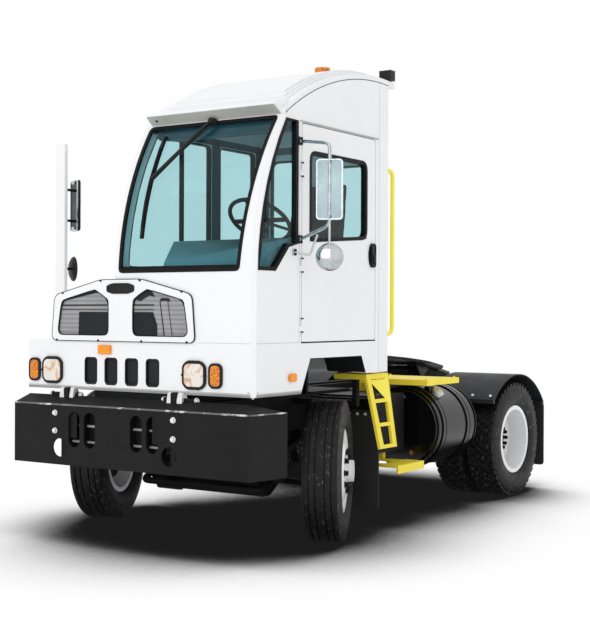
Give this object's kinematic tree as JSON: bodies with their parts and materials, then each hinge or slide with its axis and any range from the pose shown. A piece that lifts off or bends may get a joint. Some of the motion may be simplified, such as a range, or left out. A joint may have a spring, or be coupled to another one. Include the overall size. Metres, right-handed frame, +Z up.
{
  "type": "terminal tractor",
  "caption": "Yard truck with a narrow offset cab beside its hood, a steel bumper, a short frame on single front and twin rear wheels, and a low lifting coupling plate.",
  "frame": {"origin": "on the ground below the middle of the whole tractor's box", "axes": "+Z up, -Y forward, +X to the tractor's left"},
  "size_m": [2.7895, 4.786, 3.544],
  "materials": {
    "white_paint": "gloss",
    "black_paint": "satin",
    "yellow_paint": "satin",
    "dark_metal": "matte",
    "cast_black": "matte",
    "plate_steel": "satin",
    "rod_chrome": "polished",
    "mirror_chrome": "polished",
    "tyre": "matte",
    "rubber": "matte",
    "black_plastic": "matte",
    "grille_grey": "satin",
    "clear_lens": "clear",
    "amber_lens": "clear",
    "red_lens": "clear",
    "glass": "tinted",
    "seat_fabric": "woven",
    "grey_trim": "matte"
  },
  "bodies": {
    "chassis": {"frame_rails": "black_paint", "bumper": "black_paint", "front_axle": "cast_black", "front_springs": "dark_metal", "rear_axle": "cast_black", "engine_block": "cast_black", "radiator": "dark_metal", "fuel_tank": "black_paint", "deck": "yellow_paint", "steps": "yellow_paint", "rear_fenders": "dark_metal", "mud_flaps": "rubber", "battery_box": "black_paint", "air_tanks": "black_paint", "rear_lamps": "red_lens"},
    "cab": {"front_panel": "white_paint", "front_wall": "white_paint", "left_side": "white_paint", "right_wall": "white_paint", "rear_wall": "white_paint", "cab_roof": "white_paint", "cab_floor": "grey_trim", "engine_hood": "white_paint", "grille_surround": "white_paint", "grille_mesh": "grille_grey", "windscreen": "glass", "cab_glass": "glass", "headlamps": "clear_lens", "amber_lamps": "amber_lens", "work_lamp": "black_plastic", "mirrors": "mirror_chrome", "wiper": "black_plastic", "driver_seat": "seat_fabric", "dashboard": "grey_trim", "grab_handle": "yellow_paint"},
    "side_door": {"side_door": "white_paint", "side_door_glass": "glass", "door_handle": "black_plastic"},
    "rear_door": {"rear_door": "white_paint", "rear_door_glass": "glass"},
    "knuckle_left": {"knuckle_left": "cast_black"},
    "knuckle_right": {"knuckle_right": "cast_black"},
    "tie_rod": {"tie_rod": "dark_metal"},
    "wheel_front_left": {"front_tyre_left": "tyre", "front_rim_left": "white_paint"},
    "wheel_front_right": {"front_tyre_right": "tyre", "front_rim_right": "white_paint"},
    "wheels_rear_left": {"rear_tyres_left": "tyre", "rear_rims_left": "white_paint"},
    "wheels_rear_right": {"rear_tyres_right": "tyre", "rear_rims_right": "white_paint"},
    "lift_boom": {"lift_boom": "black_paint"},
    "fifth_wheel": {"fifth_wheel": "plate_steel"},
    "lift_barrels": {"lift_barrels": "black_paint"},
    "lift_rods": {"lift_rods": "rod_chrome"}
  },
  "joints": [
    {"name": "cab_tilt", "type": "hinge", "parent": "chassis", "child": "cab", "pos_m": [-0.10024, -2.267, 1.053], "axis": [1, 0, 0], "range_deg": [0, 45]},
    {"name": "side_door_swing", "type": "hinge", "parent": "cab", "child": "side_door", "pos_m": [1.03876, -1.752, 2], "axis": [0, 0, -1], "range_deg": [0, 75]},
    {"name": "rear_door_slide", "type": "slide", "parent": "cab", "child": "rear_door", "axis": [-1, 0, 0], "range_m": [0, 0.46]},
    {"name": "steer_left", "type": "hinge", "parent": "chassis", "child": "knuckle_left", "pos_m": [0.78976, -1.253, 0.51], "axis": [0, 0, 1], "range_deg": [-63, 20]},
    {"name": "steer_right", "type": "hinge", "parent": "chassis", "child": "knuckle_right", "pos_m": [-0.99024, -1.253, 0.51], "axis": [0, 0, 1], "range_deg": [-58, 19]},
    {"name": "tie_rod_end", "type": "hinge", "parent": "knuckle_left", "child": "tie_rod", "pos_m": [0.61099, -1.08258, 0.383], "axis": [0, 0, 1], "range_deg": [-24, 71]},
    {"name": "spin_front_left", "type": "hinge", "parent": "knuckle_left", "child": "wheel_front_left", "pos_m": [0.78976, -1.253, 0.51], "axis": [0.9063, 0.4226, 0], "continuous": true},
    {"name": "spin_front_right", "type": "hinge", "parent": "knuckle_right", "child": "wheel_front_right", "pos_m": [-0.99024, -1.253, 0.51], "axis": [0.9397, 0.342, 0], "continuous": true},
    {"name": "spin_rear_left", "type": "hinge", "parent": "chassis", "child": "wheels_rear_left", "pos_m": [-0.10024, 1.693, 0.51], "axis": [1, 0, 0], "continuous": true},
    {"name": "spin_rear_right", "type": "hinge", "parent": "chassis", "child": "wheels_rear_right", "pos_m": [-0.10024, 1.693, 0.51], "axis": [1, 0, 0], "continuous": true},
    {"name": "boom_lift", "type": "hinge", "parent": "chassis", "child": "lift_boom", "pos_m": [-0.10024, 0.193, 0.93], "axis": [1, 0, 0], "range_deg": [0, 17]},
    {"name": "coupling_tilt", "type": "hinge", "parent": "lift_boom", "child": "fifth_wheel", "pos_m": [-0.10024, 1.543, 1.1], "axis": [1, 0, 0], "range_deg": [-5, 22]},
    {"name": "barrel_swing", "type": "hinge", "parent": "chassis", "child": "lift_barrels", "pos_m": [-0.10024, 0.743, 0.74], "axis": [1, 0, 0], "range_deg": [0, 26.39]},
    {"name": "rod_slide", "type": "slide", "parent": "lift_barrels", "child": "lift_rods", "axis": [0, 0.9236, 0.3834], "range_m": [0, 0.1425]}
  ],
  "couplings": [
    {"joint": "steer_right", "follows": "steer_left", "ratio": 0.9},
    {"joint": "tie_rod_end", "follows": "steer_left", "ratio": -1.1},
    {"joint": "barrel_swing", "follows": "boom_lift", "ratio": 1.5227},
    {"joint": "rod_slide", "follows": "boom_lift", "m_per_rad": 0.47367}
  ]
}
